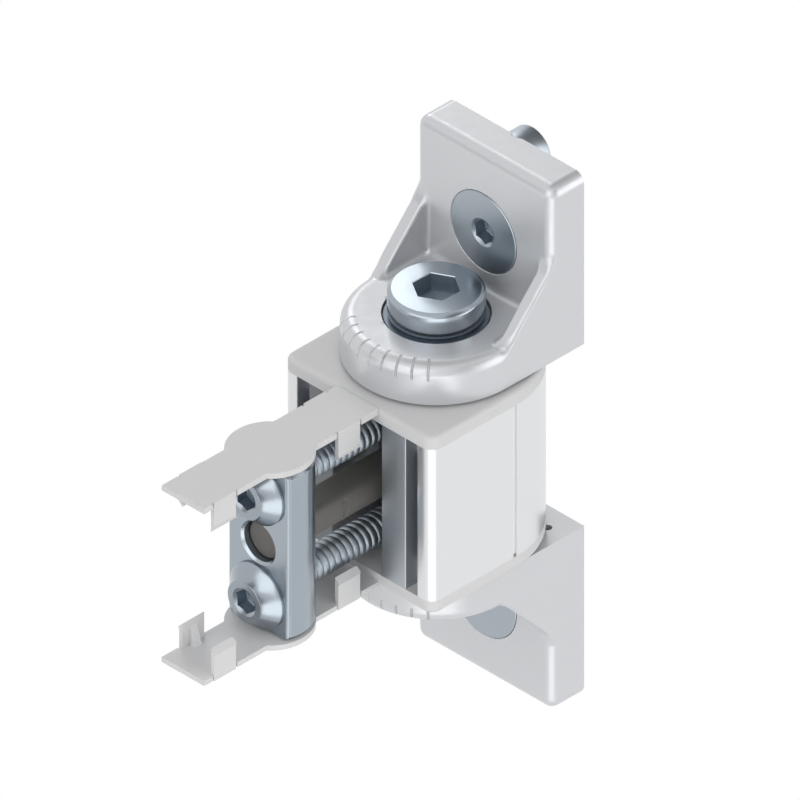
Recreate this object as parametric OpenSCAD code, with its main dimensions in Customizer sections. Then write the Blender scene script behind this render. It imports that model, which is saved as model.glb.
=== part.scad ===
// Swivel bearing that joins the end of a slotted strut to a wall or a second strut.
// X = 0 is the face that the strut's end butts against, the strut lies towards -X,
// the swivel axis is vertical, and Z = 0 is the middle of the height.

/* [Housing] */
// Distance from the strut face to the swivel axis
pivot_x = 21.2; // [20.5:0.1:26]
// Width across the flat sides of the housing
body_w = 40; // [38:0.5:48]
// How far behind the swivel axis the round back has its centre
back_shift = 1; // [0.8:0.1:1.1]
// Height of the aluminium section
body_h = 34.8; // [34.4:0.2:44]
// Radius of the front corners
corner_r = 2.5; // [1.5:0.1:3]
// Width of the channel in the front face
channel_w = 13; // [11:0.5:14]
// Wall between the channel and each front slot
land_w = 6.4; // [5.5:0.1:6.6]
// Width of the narrow front slots
slot_w = 3.1; // [2:0.1:3.4]
// Depth of the narrow front slots
slot_depth = 8.5; // [6:0.5:10]
// Width of the seam groove between the flat side and the round back
seam_w = 0.8; // [0.5:0.1:1.4]
// Depth of the seam groove
seam_depth = 0.5; // [0.3:0.1:0.8]

/* [End caps] */
// Thickness of the cap plate
cap_t = 2.9; // [2.4:0.1:4]
// Radius on the cap's outer edge
cap_edge_r = 0.9; // [0.4:0.1:1.4]
// Running clearance of the cap round the pin's neck
cap_clearance = 0.2; // [0.1:0.05:0.4]
// Length of the locating tongues in the front slots
tongue_len = 5; // [3:0.5:8]
// Clearance round a locating tongue
tongue_clearance = 0.1; // [0.05:0.05:0.3]
// How far a locating tongue lies behind the front face
tongue_setback = 3.6; // [3.2:0.1:4.5]

/* [Cover arms] */
// Length of the arm past the strut face
arm_len = 46.6; // [42:0.2:60]
// Width of the arm
arm_w = 11.4; // [10:0.1:13]
// Thickness of the arm
arm_t = 1.3; // [1:0.1:1.6]
// How far the arm's outer face stands past the cap
arm_proud = 0.2; // [0:0.1:0.4]
// How far the arm's root reaches over the cap's front edge
arm_root = 0.5; // [0.4:0.1:4]
// Extra radius of the round pad over the clamp bar
pad_margin = 0.1; // [0:0.1:0.6]
// Length of each snap tab along the arm
tab_len = 5.8; // [4:0.2:6.4]
// Height of the snap tabs, from the arm's outer face
tab_h = 6.2; // [5:0.1:7]
// Thickness of a snap tab
tab_t = 0.9; // [0.7:0.1:1.2]
// How far the hook of a snap tab stands out
hook = 0.3; // [0.2:0.1:0.9]
// Distance from the strut face to the inner pair of tabs
near_tab_x = 4.9; // [4:0.1:6]
// Distance from the arm's tip to the outer pair of tabs
tip_tab_x = 2.7; // [2:0.1:3.2]
// How much further from the tip the tabs on the +Y edge sit
tab_stagger = 2; // [0:0.1:3]
// Depth of the notch in the arm's edge on both sides of a tab
notch = 0.4; // [0.2:0.1:0.6]
// Thickness of the rib behind a snap tab
rib_t = 1.8; // [0.8:0.1:2.4]
// Reach of that rib along the arm's inner face
rib_reach = 1.4; // [1:0.1:1.6]

/* [Clamp bar and screws] */
// Distance from the strut face to the bar's centre
bar_x = 23.3; // [21:0.1:26]
// Radius of the bar
bar_r = 8.6; // [8.2:0.1:9]
// Distance from the bar's centre to its flat
bar_flat = 3.2; // [2.6:0.1:3.8]
// Gap between the bar's ends and the arms
bar_end_gap = 0.4; // [0.3:0.05:0.8]
// Chamfer on the ends of the bar
bar_chamfer = 0.5; // [0.3:0.1:1]
// Radius of the plain hole in the middle of the bar
bar_hole_r = 4.2; // [3.4:0.1:4.3]
// Chamfer on the plain hole
bar_hole_chamfer = 0.5; // [0.3:0.1:0.8]
// Clearance of the core rod in that hole
rod_clearance = 0.08; // [0.05:0.01:0.1]
// How far the core rod ends below the bar's flat
rod_recess = 1.8; // [1.5:0.1:2.5]
// Length of the core rod inside the pin
rod_seat = 3; // [2:0.2:5]
// Height of each clamp screw above or below the middle
clamp_z = 11.9; // [11.6:0.1:12.1]
// Radius of the clamp screw's thread
clamp_r = 3.3; // [2.8:0.1:3.4]
// Clearance of the clamp screw in the bar
clamp_clearance = 0.3; // [0.15:0.05:0.4]
// Radius of the clamp screw's flange
clamp_flange_r = 7; // [6.4:0.1:7.1]
// Thickness of the clamp screw's flange at its rim
clamp_flange_t = 0.7; // [0.4:0.1:1]
// Radius of the clamp screw's flat end face
clamp_face_r = 4.4; // [4:0.1:5]
// Height of the clamp screw's head
clamp_head_h = 3.7; // [3:0.1:4.2]
// Width across flats of the clamp screw's socket
clamp_socket = 5; // [4:0.1:5.5]
// Depth of the clamp screw's socket
clamp_socket_depth = 3; // [2:0.1:3.2]
// Running clearance of the clamp screw in the pin
thread_clearance = 0.05; // [0.03:0.01:0.1]
// How far the clamp screw reaches past the pin's surface
clamp_grip = 8; // [6:0.2:9]
// Travel kept free past the clamp screw's tip
clamp_travel = 2; // [1.8:0.1:2.2]

/* [Pin and pivot screws] */
// Radius of the pin inside the housing
pin_r = 11; // [10:0.1:11.5]
// Sliding fit of the pin in the housing
pin_clearance = 0.05; // [0.03:0.01:0.1]
// Radius of the pin's neck in the bracket eye
neck_r = 8; // [7.5:0.1:8.2]
// Wall of the bush between neck and eye
bush_wall = 1.4; // [1.2:0.1:1.6]
// Running clearance between neck and bush
bush_clearance = 0.05; // [0.03:0.01:0.1]
// Thickness of the thrust washer under the eye
thrust_t = 0.6; // [0.4:0.1:1]
// Radius of the thrust washer
thrust_r = 16; // [14:0.5:17]
// End play of the bracket between its washers
end_play = 0.05; // [0.03:0.01:0.1]
// Thickness of the washer under the pivot screw's head
head_washer_t = 1.2; // [1:0.1:1.5]
// Radius of the washer under the pivot screw's head
head_washer_r = 10.2; // [9.9:0.1:10.3]
// Radius of the pivot screw's head
pivot_head_r = 9.4; // [9:0.1:9.8]
// Height of the pivot screw's head
pivot_head_h = 6.4; // [5:0.1:8]
// Chamfer on the rim of the pivot screw's head
pivot_head_chamfer = 0.7; // [0.4:0.1:1]
// Width across flats of the pivot screw's socket
pivot_socket = 8.2; // [8:0.1:10]
// Depth of the pivot screw's socket
pivot_socket_depth = 4; // [3:0.1:4.5]
// Radius of the pivot screw's shank
pivot_r = 6; // [5:0.1:6.5]
// Length of the pivot screw's shank
pivot_len = 12; // [10:0.5:12]

/* [Brackets] */
// Width of the bracket
bracket_w = 36.6; // [34:0.2:38]
// Thickness of the eye
eye_t = 8.7; // [8:0.1:10]
// Radius on the rim of the eye
eye_edge_r = 2.6; // [1.5:0.1:3]
// Radius of the recess for the pivot screw's head
recess_r = 10.5; // [10.4:0.05:11]
// Depth of that recess
recess_depth = 1.6; // [1.5:0.1:2]
// Distance from the swivel axis to the plate's mounting face
plate_back = 21.2; // [21:0.1:26]
// Thickness of the upright plate
plate_t = 8.6; // [8:0.1:9]
// Height of the plate's far edge above the middle
plate_top = 60; // [58:0.5:75]
// Radius on the plate's front edges and corners
plate_edge_r = 2.3; // [1:0.1:2.6]
// Thickness of the side gussets
gusset_t = 3; // [2:0.1:3.2]
// Length of the gusset along the eye, from the plate
gusset_foot = 11.8; // [9:0.1:12.2]
// Height of the gusset along the plate, from the eye
gusset_rise = 12.8; // [10:0.1:14]

/* [Mounting screws and studs] */
// Height of the mounting screw above the middle
mount_z = 41.9; // [41.8:0.1:43]
// Radius of the mounting screw's thread
mount_r = 4; // [3.8:0.1:4.2]
// Radius of its plain shank inside the plate
shank_r = 3.6; // [3.2:0.1:3.7]
// Clearance of the mounting screw's thread in the plate
mount_clearance = 0.4; // [0.2:0.05:0.5]
// Chamfer on the mounting screw's tip
mount_chamfer = 0.6; // [0.3:0.1:1]
// Radius of the countersunk head
mount_head_r = 8.7; // [8.4:0.1:9]
// Clearance of the countersunk head in its seat
head_clearance = 0.1; // [0.1:0.05:0.3]
// Height of the straight rim of the countersunk head
mount_rim = 0.3; // [0.2:0.1:0.5]
// How far the countersunk head lies below the plate's face
mount_sunk = -0.2; // [-0.25:0.05:0.3]
// Width across flats of the countersunk screw's socket
mount_socket = 5; // [4:0.1:6]
// Depth of the countersunk screw's socket
mount_socket_depth = 3; // [2:0.1:3.4]
// How far the mounting screw stands out behind the plate
mount_reach = 11.4; // [8:0.2:20]
// Height of the locating stud above the middle
stud_z = 54.7; // [54.2:0.1:54.8]
// Radius of the locating stud
stud_r = 5.05; // [4.4:0.05:5.2]
// Radius of the stud's root in the plate
stud_root_r = 4; // [3.4:0.1:4.2]
// Length of the stud's root in the plate
stud_seat = 5; // [4:0.2:6]
// How far the stud stands out behind the plate
stud_reach = 4.7; // [3:0.1:8]
// Chamfer on the stud's end
stud_chamfer = 0.4; // [0.2:0.1:0.8]
// Width and depth of the relief round the stud's shoulder
stud_relief = 0.3; // [0.2:0.1:0.5]

/* [Hidden] */
$fn = 96;
through = 1;
half_w = body_w / 2;
body_top = body_h / 2;
cap_top = body_top + cap_t;
slot_y = channel_w / 2 + land_w;
arm_top = cap_top + arm_proud;
arm_under = arm_top - arm_t;
pad_r = bar_r + pad_margin;
bar_half = arm_under - bar_end_gap;
pin_front = pivot_x - pin_r;
clamp_seat = -bar_x - bar_flat;
clamp_tip = pin_front + clamp_grip;
rod_r = bar_hole_r - rod_clearance;
eye_under = cap_top + thrust_t + end_play;
eye_top = eye_under + eye_t;
eye_r = bracket_w / 2;
recess_floor = eye_top - recess_depth;
neck_top = recess_floor + end_play;
head_seat = neck_top + head_washer_t;
bush_r = neck_r + bush_clearance + bush_wall;
plate_front = plate_back - plate_t;
pivot_tip = head_seat - pivot_len;
mount_thread = plate_t - mount_sunk;
socket_point = 0.12;
tab_starts = [-arm_len + tip_tab_x, -near_tab_x - tab_len];

function across_corners(flats) = flats / cos(30);

// Shift of the tabs along the arm, on the edge at +Y or -Y.
function stagger(y) = y > 0 ? tab_stagger : 0;

// Everything that belongs to the swivel axis is drawn round its own origin.
module at_pivot() translate([pivot_x, 0, 0]) children();

// The lower half of the bearing is the upper half turned over.
module lower() mirror([0, 0, 1]) children();

// Square front of the plan with its small corners, as long as the given depth.
module front_plan(depth) {
    round_y = half_w - corner_r;
    translate([-pivot_x + corner_r, -half_w]) square([depth - corner_r, body_w]);
    translate([-pivot_x, -round_y]) square([depth, 2 * round_y]);
    for (y = [-1, 1]) translate([-pivot_x + corner_r, y * round_y]) circle(corner_r);
}

// Plan of the housing: square in front, round behind the axis.
module d_plan() {
    front_plan(pivot_x + back_shift);
    translate([back_shift, 0]) intersection() {
        circle(half_w);
        translate([0, -body_w]) square([body_w, 2 * body_w]);
    }
}

// Two narrow slots in the front face of the housing, from the given depth inwards.
module front_slots(start, gap) {
    for (y = [-1, 1])
        translate([start - pivot_x, y * (slot_y + slot_w / 2) - slot_w / 2 + gap])
            square([slot_depth - gap - start, slot_w - 2 * gap]);
}

module housing_plan() {
    difference() {
        d_plan();
        circle(pin_r + pin_clearance);
        translate([-pivot_x - through, -channel_w / 2]) square([pivot_x + through, channel_w]);
        front_slots(-through, 0);
        for (y = [-1, 1])
            translate([back_shift - seam_w / 2, y * half_w - seam_depth])
                square([seam_w, 2 * seam_depth]);
    }
}

module housing() color("#dfe1e3")
    at_pivot() translate([0, 0, -body_top]) linear_extrude(body_h) housing_plan();

// A hexagonal socket with a drilled point at its bottom, cut down from z = 0.
module hex_socket(flats, depth) {
    point = flats * socket_point;
    translate([0, 0, -depth]) cylinder(h = depth + through, d = across_corners(flats), $fn = 6);
    translate([0, 0, -depth - point]) cylinder(h = point, r1 = 0, d2 = flats);
}

// Cap plate with its outer edge rounded, standing on z = 0. The square front is three
// crossing outlines, and the round back is half a disc with a rounded rim.
module cap_plate() {
    depth = pivot_x + back_shift;
    intersection() {
        linear_extrude(cap_t) front_plan(depth);
        translate([0, half_w, 0]) rotate([90, 0, 0]) linear_extrude(body_w)
            cap_profile(pivot_x, 1, back_shift);
        translate([-pivot_x, 0, 0]) rotate([90, 0, 90]) linear_extrude(depth) {
            cap_profile(half_w, 1, 0);
            mirror([1, 0]) cap_profile(half_w, 1, 0);
        }
    }
    translate([back_shift, 0, 0]) intersection() {
        rotate_extrude() cap_profile(half_w, -1, 0);
        translate([0, -body_w, 0]) cube([body_w, 2 * body_w, cap_t]);
    }
}

// Half section of the cap plate with its upper outer corner rounded, reaching out on one
// side, and the given length to the other side.
module cap_profile(reach, side, back) {
    r = cap_edge_r;
    mirror([side > 0 ? 1 : 0, 0]) {
        translate([-back, 0]) square([reach + back - r, cap_t]);
        translate([-back, 0]) square([reach + back, cap_t - r]);
        translate([reach - r, cap_t - r]) intersection() {
            circle(r, $fn = 48);
            square(r);
        }
    }
}

// One snap tab on the +Y edge of the arm, from x = 0 along +X, hanging down from z = 0.
module snap_tab() {
    edge = arm_w / 2;
    translate([0, edge - tab_t, -tab_h]) cube([tab_len, tab_t, tab_h]);
    translate([0, 0, -tab_h]) rotate([90, 0, 90]) linear_extrude(tab_len)
        polygon([[edge, 0], [edge + hook, hook], [edge, hook + hook]]);
    translate([(tab_len - rib_t) / 2, 0, 0]) rotate([90, 0, 90]) linear_extrude(rib_t)
        polygon([[edge - tab_t, -arm_t], [edge - tab_t, hook - tab_h],
            [edge - tab_t - rib_reach, -arm_t]]);
}

module cover_arm() {
    difference() {
        union() {
            translate([-arm_len, -arm_w / 2, -arm_t]) cube([arm_len + arm_root, arm_w, arm_t]);
            translate([-bar_x, 0, -arm_t]) cylinder(h = arm_t, r = pad_r);
        }
        for (x = tab_starts, y = [-1, 1], side = [-notch, tab_len])
            translate([x + stagger(y) + side, y * arm_w / 2 - notch, -arm_t - through])
                cube([notch, 2 * notch, arm_t + 2 * through]);
    }
    for (x = tab_starts, y = [-1, 1])
        translate([x + stagger(y), 0, 0]) mirror([0, y < 0 ? 1 : 0, 0]) snap_tab();
}

module cap() color("#cfd0d1") {
    difference() {
        union() {
            at_pivot() translate([0, 0, body_top]) cap_plate();
            translate([0, 0, arm_top]) cover_arm();
            at_pivot() translate([0, 0, body_top - tongue_len]) linear_extrude(tongue_len + through)
                front_slots(tongue_setback, tongue_clearance);
        }
        at_pivot() cylinder(h = cap_top + through, r = neck_r + cap_clearance);
    }
}

module upper_cap() cap();
module lower_cap() lower() cap();

// Pin that carries both brackets, tapped at its ends and across for the clamp screws.
module pivot_pin() color("#8f9499")
    difference() {
        at_pivot() {
            translate([0, 0, -body_top]) cylinder(h = body_h, r = pin_r);
            translate([0, 0, -neck_top]) cylinder(h = 2 * neck_top, r = neck_r);
        }
        for (z = [-1, 1]) {
            translate([pin_front - through, 0, z * clamp_z]) rotate([0, 90, 0])
                cylinder(h = clamp_grip + clamp_travel + through, r = clamp_r + thread_clearance);
            at_pivot() translate([0, 0, z * (neck_top + pivot_tip - through) / 2])
                cylinder(h = neck_top - pivot_tip + 3 * through, r = pivot_r + thread_clearance,
                    center = true);
        }
        translate([pin_front - through, 0, 0]) rotate([0, 90, 0])
            cylinder(h = rod_seat + through, r = rod_r + pin_clearance);
    }

// Plain rod in the strut's core, from its seat in the pin into the bar's middle hole.
module core_rod() color("#625f5c")
    translate([clamp_seat + rod_recess, 0, 0]) rotate([0, 90, 0])
        cylinder(h = pin_front + rod_seat - clamp_seat - rod_recess, r = rod_r);

module clamp_bar() color("#a9b3bb")
    difference() {
        translate([-bar_x, 0, 0]) intersection() {
            union() {
                cylinder(h = 2 * (bar_half - bar_chamfer), r = bar_r, center = true);
                for (z = [0, 1]) mirror([0, 0, z]) translate([0, 0, bar_half - bar_chamfer])
                    cylinder(h = bar_chamfer, r1 = bar_r, r2 = bar_r - bar_chamfer);
            }
            translate([-bar_flat, -bar_r, -bar_half]) cube([bar_flat + bar_r, 2 * bar_r, 2 * bar_half]);
        }
        translate([clamp_seat, 0, 0]) rotate([0, 90, 0]) {
            translate([0, 0, -through]) cylinder(h = 3 * bar_r, r = bar_hole_r);
            cylinder(h = bar_hole_chamfer, r1 = bar_hole_r + bar_hole_chamfer, r2 = bar_hole_r);
        }
        for (z = [-1, 1]) translate([clamp_seat - through, 0, z * clamp_z]) rotate([0, 90, 0])
            cylinder(h = 3 * bar_r, r = clamp_r + clamp_clearance);
    }

module clamp_screw() color("#9aa6ae")
    translate([clamp_seat, 0, clamp_z]) rotate([0, 90, 0]) difference() {
        union() {
            cylinder(h = clamp_tip - clamp_seat, r = clamp_r);
            translate([0, 0, -clamp_flange_t]) cylinder(h = clamp_flange_t, r = clamp_flange_r);
            translate([0, 0, -clamp_head_h])
                cylinder(h = clamp_head_h - clamp_flange_t, r1 = clamp_face_r, r2 = clamp_flange_r);
        }
        translate([0, 0, -clamp_head_h]) mirror([0, 0, 1]) hex_socket(clamp_socket, clamp_socket_depth);
    }

module upper_clamp_screw() clamp_screw();
module lower_clamp_screw() lower() clamp_screw();

// Upright plate, its front edges and far corners rounded by three crossing outlines.
module plate_block() {
    intersection() {
        translate([plate_front, 0, 0]) rotate([90, 0, 90]) linear_extrude(plate_t)
            rounded_top(eye_r, eye_under, plate_top);
        translate([0, eye_r, 0]) rotate([90, 0, 0]) linear_extrude(bracket_w)
            rounded_front(eye_under, plate_top);
        translate([0, 0, eye_under]) linear_extrude(plate_top - eye_under)
            rounded_sides();
    }
}

module rounded_top(side, bottom, top) {
    r = plate_edge_r;
    translate([-side, bottom]) square([2 * side, top - bottom - r]);
    translate([-side + r, bottom]) square([2 * (side - r), top - bottom]);
    for (y = [-1, 1]) translate([y * (side - r), top - r]) circle(r);
}

module rounded_front(bottom, top) {
    r = plate_edge_r;
    translate([plate_front, bottom]) square([plate_t, top - bottom - r]);
    translate([plate_front + r, bottom]) square([plate_t - r, top - bottom]);
    translate([plate_front + r, top - r]) circle(r);
}

module rounded_sides() {
    r = plate_edge_r;
    translate([plate_front + r, -eye_r]) square([plate_t - r, bracket_w]);
    translate([plate_front, -eye_r + r]) square([plate_t, bracket_w - 2 * r]);
    for (y = [-1, 1]) translate([plate_front + r, y * (eye_r - r)]) circle(r);
}

// Eye with its upper rim rounded, and the web that joins it to the plate.
module eye_block() {
    translate([0, 0, eye_under]) rotate_extrude() {
        square([eye_r - eye_edge_r, eye_t]);
        square([eye_r, eye_t - eye_edge_r]);
        translate([eye_r - eye_edge_r, eye_t - eye_edge_r]) intersection() {
            circle(eye_edge_r, $fn = 64);
            square(eye_edge_r);
        }
    }
    translate([0, -eye_r, eye_under]) cube([plate_front + plate_edge_r, bracket_w, eye_t]);
}

// Sloping side gusset on the +Y side.
module gusset() {
    translate([0, eye_r, 0]) rotate([90, 0, 0]) linear_extrude(gusset_t)
        polygon([[plate_front - gusset_foot, eye_under], [plate_front - gusset_foot, eye_top],
            [plate_front, eye_top + gusset_rise], [plate_front + plate_edge_r, eye_top + gusset_rise],
            [plate_front + plate_edge_r, eye_under]]);
}

// Countersunk seat for the mounting screw, opening towards -X.
module mount_hole() {
    seat_r = mount_head_r + head_clearance;
    hole_r = mount_r + mount_clearance;
    translate([plate_front, 0, mount_z]) rotate([0, 90, 0]) {
        translate([0, 0, -through]) cylinder(h = plate_t + 2 * through, r = hole_r);
        translate([0, 0, -through]) cylinder(h = through + mount_sunk + mount_rim, r = seat_r);
        translate([0, 0, mount_sunk + mount_rim])
            cylinder(h = seat_r - hole_r, r1 = seat_r, r2 = hole_r);
    }
}

module bracket() color("#cdcfd2")
    at_pivot() difference() {
        union() {
            eye_block();
            plate_block();
            for (y = [0, 1]) mirror([0, y, 0]) gusset();
        }
        cylinder(h = eye_top + through, r = bush_r);
        translate([0, 0, recess_floor]) cylinder(h = recess_depth + through, r = recess_r);
        mount_hole();
        translate([plate_back, 0, stud_z]) rotate([0, 90, 0]) {
            translate([0, 0, -stud_seat]) cylinder(h = stud_seat + through, r = stud_root_r);
            translate([0, 0, -stud_relief]) cylinder(h = stud_relief + through, r = stud_r + stud_relief);
        }
    }

module upper_bracket() bracket();
module lower_bracket() lower() bracket();

// Low-head socket screw that holds a bracket on the pin.
module pivot_screw() color("#9fa9b1")
    at_pivot() difference() {
        union() {
            translate([0, 0, pivot_tip]) cylinder(h = pivot_len, r = pivot_r);
            translate([0, 0, head_seat]) rotate_extrude()
                polygon([[0, 0], [pivot_head_r - pivot_head_chamfer, 0],
                    [pivot_head_r, pivot_head_chamfer],
                    [pivot_head_r, pivot_head_h - pivot_head_chamfer],
                    [pivot_head_r - pivot_head_chamfer, pivot_head_h], [0, pivot_head_h]]);
        }
        translate([0, 0, head_seat + pivot_head_h]) hex_socket(pivot_socket, pivot_socket_depth);
    }

module upper_pivot_screw() pivot_screw();
module lower_pivot_screw() lower() pivot_screw();

// Flat ring on the swivel axis.
module ring(bottom, height, outer, inner) {
    at_pivot() translate([0, 0, bottom]) difference() {
        cylinder(h = height, r = outer);
        translate([0, 0, -through]) cylinder(h = height + 2 * through, r = inner);
    }
}

module bush() color("#2d2f33")
    ring(eye_under, recess_floor - eye_under, bush_r, neck_r + bush_clearance);
module upper_bush() bush();
module lower_bush() lower() bush();

module thrust_washer() color("#3a3c40") ring(cap_top, thrust_t, thrust_r, neck_r + cap_clearance);
module upper_thrust_washer() thrust_washer();
module lower_thrust_washer() lower() thrust_washer();

module head_washer() color("#4c5258")
    ring(neck_top, head_washer_t, head_washer_r, pivot_r + mount_clearance);
module upper_head_washer() head_washer();
module lower_head_washer() lower() head_washer();

// Countersunk socket screw through the plate.
module mount_screw() color("#6f7981")
    at_pivot() translate([plate_front + mount_sunk, 0, mount_z]) rotate([0, 90, 0]) difference() {
        union() {
            cylinder(h = mount_rim, r = mount_head_r);
            translate([0, 0, mount_rim])
                cylinder(h = mount_head_r - shank_r, r1 = mount_head_r, r2 = shank_r);
            cylinder(h = mount_thread, r = shank_r);
            translate([0, 0, mount_thread]) cylinder(h = mount_reach - mount_chamfer, r = mount_r);
            translate([0, 0, mount_thread + mount_reach - mount_chamfer])
                cylinder(h = mount_chamfer, r1 = mount_r, r2 = mount_r - mount_chamfer);
        }
        mirror([0, 0, 1]) hex_socket(mount_socket, mount_socket_depth);
    }

module upper_mount_screw() mount_screw();
module lower_mount_screw() lower() mount_screw();

// Stud in the back of the plate that keeps the bracket from turning on its mount.
module locating_stud() color("#aab2b8")
    at_pivot() translate([plate_back - stud_seat, 0, stud_z]) rotate([0, 90, 0]) rotate_extrude()
        polygon([[0, 0], [stud_root_r, 0], [stud_root_r, stud_seat], [stud_r, stud_seat],
            [stud_r, stud_seat + stud_reach - stud_chamfer],
            [stud_r - stud_chamfer, stud_seat + stud_reach], [0, stud_seat + stud_reach]]);

module upper_locating_stud() locating_stud();
module lower_locating_stud() lower() locating_stud();

housing();
upper_cap();
lower_cap();
pivot_pin();
core_rod();
clamp_bar();
upper_clamp_screw();
lower_clamp_screw();
upper_bracket();
lower_bracket();
upper_pivot_screw();
lower_pivot_screw();
upper_bush();
lower_bush();
upper_thrust_washer();
lower_thrust_washer();
upper_head_washer();
lower_head_washer();
upper_mount_screw();
lower_mount_screw();
upper_locating_stud();
lower_locating_stud();
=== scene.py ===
"""Swivel bearing for the end of a slotted strut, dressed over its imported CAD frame."""

import bmesh
import bpy
import numpy as np
from bpy.props import FloatProperty, FloatVectorProperty, IntProperty, PointerProperty
from mathutils import Matrix, Vector
from mathutils.geometry import tessellate_polygon


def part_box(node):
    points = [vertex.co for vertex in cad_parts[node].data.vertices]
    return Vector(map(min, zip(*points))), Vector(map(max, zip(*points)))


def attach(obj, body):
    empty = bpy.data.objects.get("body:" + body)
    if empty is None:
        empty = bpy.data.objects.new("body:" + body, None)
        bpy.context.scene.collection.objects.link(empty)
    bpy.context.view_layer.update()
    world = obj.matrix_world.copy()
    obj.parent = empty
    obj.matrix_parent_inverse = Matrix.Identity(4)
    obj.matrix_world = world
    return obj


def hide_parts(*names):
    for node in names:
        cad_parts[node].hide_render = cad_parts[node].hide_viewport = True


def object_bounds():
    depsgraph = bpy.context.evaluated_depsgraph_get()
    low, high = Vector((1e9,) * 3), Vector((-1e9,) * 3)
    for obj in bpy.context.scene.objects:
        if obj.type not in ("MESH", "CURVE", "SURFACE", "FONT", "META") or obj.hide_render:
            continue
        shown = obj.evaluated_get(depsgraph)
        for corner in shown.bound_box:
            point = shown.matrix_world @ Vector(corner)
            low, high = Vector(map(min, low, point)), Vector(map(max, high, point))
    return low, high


bl_info = {
    "name": "Swivel bearing for a slotted strut",
    "version": (1, 0, 0),
    "blender": (4, 5, 0),
    "location": "View3D > Sidebar > Swivel Bearing",
    "description": "Builds the cast brackets, moulded caps, extruded housing and turned screws "
                   "of a swivel bearing over its CAD frame",
    "category": "Add Mesh",
}

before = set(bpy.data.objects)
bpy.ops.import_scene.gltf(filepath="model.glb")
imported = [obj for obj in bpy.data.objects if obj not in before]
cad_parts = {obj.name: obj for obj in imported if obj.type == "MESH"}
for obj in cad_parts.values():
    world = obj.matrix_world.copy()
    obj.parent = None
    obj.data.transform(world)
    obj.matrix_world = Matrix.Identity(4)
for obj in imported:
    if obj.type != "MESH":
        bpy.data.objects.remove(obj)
CAD_BOX = [list(corner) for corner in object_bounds()]


def low(node):
    """Lowest corner of a CAD node, in metres."""
    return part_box(node)[0]


def high(node):
    """Highest corner of a CAD node, in metres."""
    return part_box(node)[1]


def middle(node):
    """Middle of a CAD node's box, in metres."""
    return (low(node) + high(node)) / 2


PIVOT_X = middle("upper_thrust_washer").x
HALVES = ("upper", "lower")


# ---------------------------------------------------------------- sizes and colours

def length(name, description, default):
    """A length that a user can change, in metres."""
    return FloatProperty(name=name, description=description, default=default,
                         unit="LENGTH", precision=5)


def colour(name, description, default):
    """A surface colour that a user can change."""
    return FloatVectorProperty(name=name, description=description, default=default,
                               subtype="COLOR", size=3, min=0, max=1)


class BracketSizes(bpy.types.PropertyGroup):
    rim_round: length("Rim round", "Round on the upper rim of the eye", 0.0026)
    plate_round: length("Plate round", "Round on the plate's front edges", 0.0023)
    gusset_round: length("Gusset round", "Round on the edges of the gussets", 0.0006)
    fillet: length("Fillet", "Cast fillet where the plate and gussets meet the eye", 0.0018)
    recess_depth: length("Recess depth", "Depth of the recess for the screw head", 0.0016)
    recess_radius: length("Recess radius", "Radius of the recess for the screw head", 0.0105)
    gusset_thickness: length("Gusset thickness", "Thickness of a side gusset", 0.003)
    gusset_foot: length("Gusset foot", "Length of a gusset along the eye", 0.0118)
    gusset_rise: length("Gusset rise", "Height of a gusset along the plate", 0.0128)
    screw_seat: length("Screw seat", "Radius of the countersunk seat", 0.0088)
    screw_hole: length("Screw hole", "Radius of the mounting hole", 0.0044)
    mark_count: IntProperty(name="Marks", description="Angle marks on the rim", default=9, min=0)
    mark_step: FloatProperty(name="Mark step", description="Angle between two marks",
                             default=np.radians(10), subtype="ANGLE")
    mark_width: length("Mark width", "Width of an angle mark at the surface", 0.0005)
    mark_depth: length("Mark depth", "Depth of an angle mark", 0.0006)
    mark_reach: length("Mark reach", "Length of a mark in from the rim", 0.0031)
    mark_drop: length("Mark drop", "Length of a mark down from the eye's top", 0.0034)
    vent: length("Vent", "Radius of the vent beside the eye", 0.0009)
    vent_depth: length("Vent depth", "Depth of the vent beside the eye", 0.003)
    grid: length("Grid", "Step of the grid that the casting is worked out on", 0.00045)
    paint: colour("Paint", "Satin silver coat", (0.615, 0.625, 0.645))


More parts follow.
